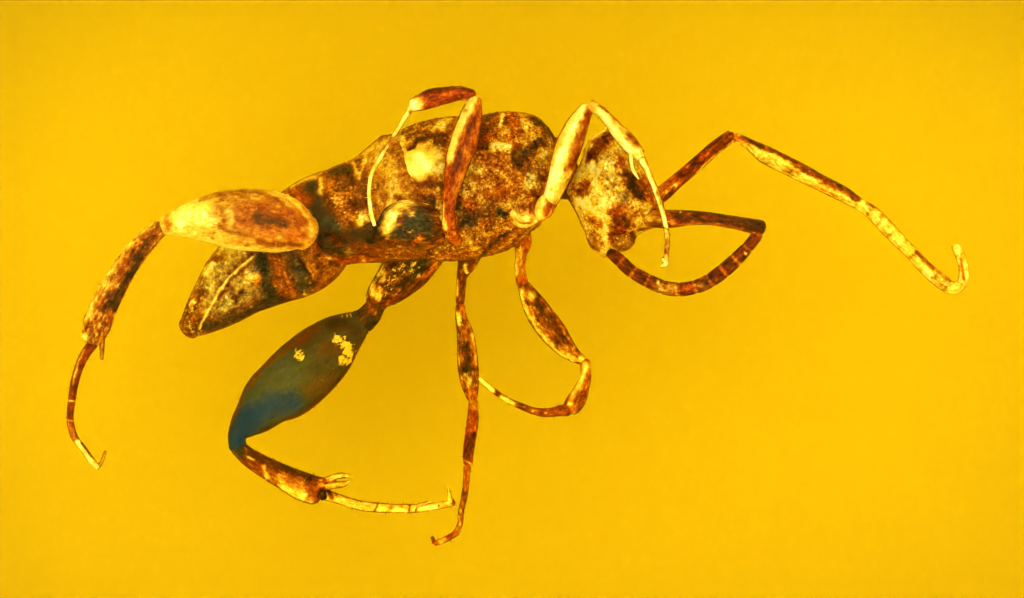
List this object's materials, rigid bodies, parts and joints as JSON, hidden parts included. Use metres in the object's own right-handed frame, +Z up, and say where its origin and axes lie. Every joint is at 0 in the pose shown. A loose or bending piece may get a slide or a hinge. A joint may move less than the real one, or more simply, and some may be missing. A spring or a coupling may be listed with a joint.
{
  "type": "insect in amber",
  "caption": "Polished slab of clear golden amber with a flat window above and below, holding a wingless wasp-like insect that lies on its side, legs folded and antennae bent.",
  "frame": {"origin": "centre of the slab's flat base, which is the bottom centre of its bounding box", "axes": "+X along the slab's length, towards the insect's head; +Y across it, towards the insect's back; +Z up through the polished window, towards the insect's right side"},
  "size_m": [0.015, 0.0104, 0.005],
  "materials": {
    "amber": "clear golden yellow, hand polished",
    "insect": "mottled dark brown and gold cuticle, glossy"
  },
  "bodies": {
    "root": {"amber_lower": "amber", "amber_upper": "amber", "insect": "insect"}
  },
  "joints": []
}
